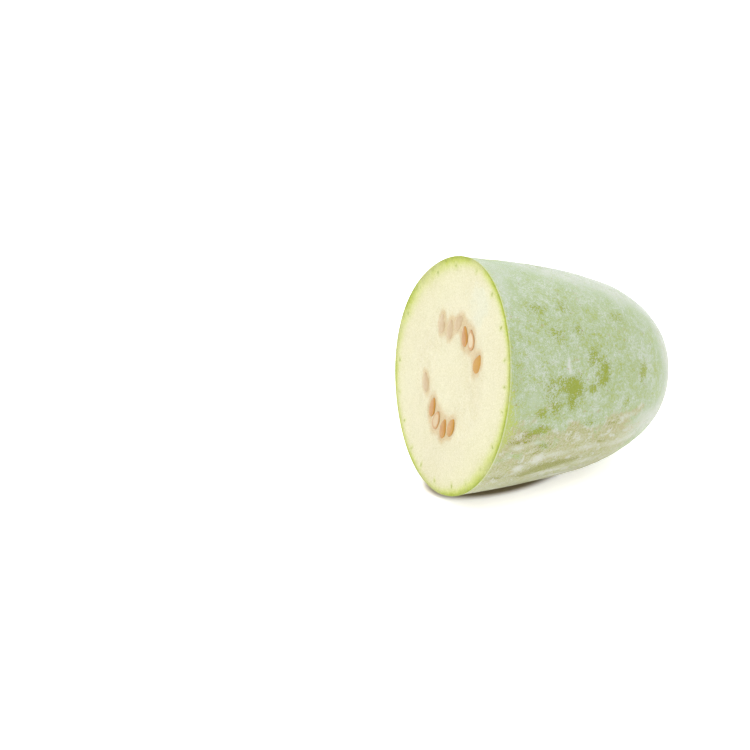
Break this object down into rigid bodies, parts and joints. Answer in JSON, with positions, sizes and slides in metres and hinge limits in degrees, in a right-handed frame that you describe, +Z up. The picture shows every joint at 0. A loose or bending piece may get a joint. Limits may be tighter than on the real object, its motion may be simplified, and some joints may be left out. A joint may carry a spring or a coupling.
{
  "type": "wax gourd half",
  "caption": "Half of a wax gourd lying on its side: a waxy green rind with a rounded blossom end, and a pale round cut face with seeds.",
  "frame": {"origin": "on the ground, under the middle of the half's box as it lies", "axes": "+Z up, +X from the cut face towards the blossom end, +Y to the half's left when the cut face is its back"},
  "size_m": [0.1654, 0.1454, 0.148],
  "materials": {
    "rind": "matte",
    "flesh": "satin",
    "seed": "satin"
  },
  "bodies": {
    "root": {"wax_gourd_half": "rind"}
  },
  "joints": []
}
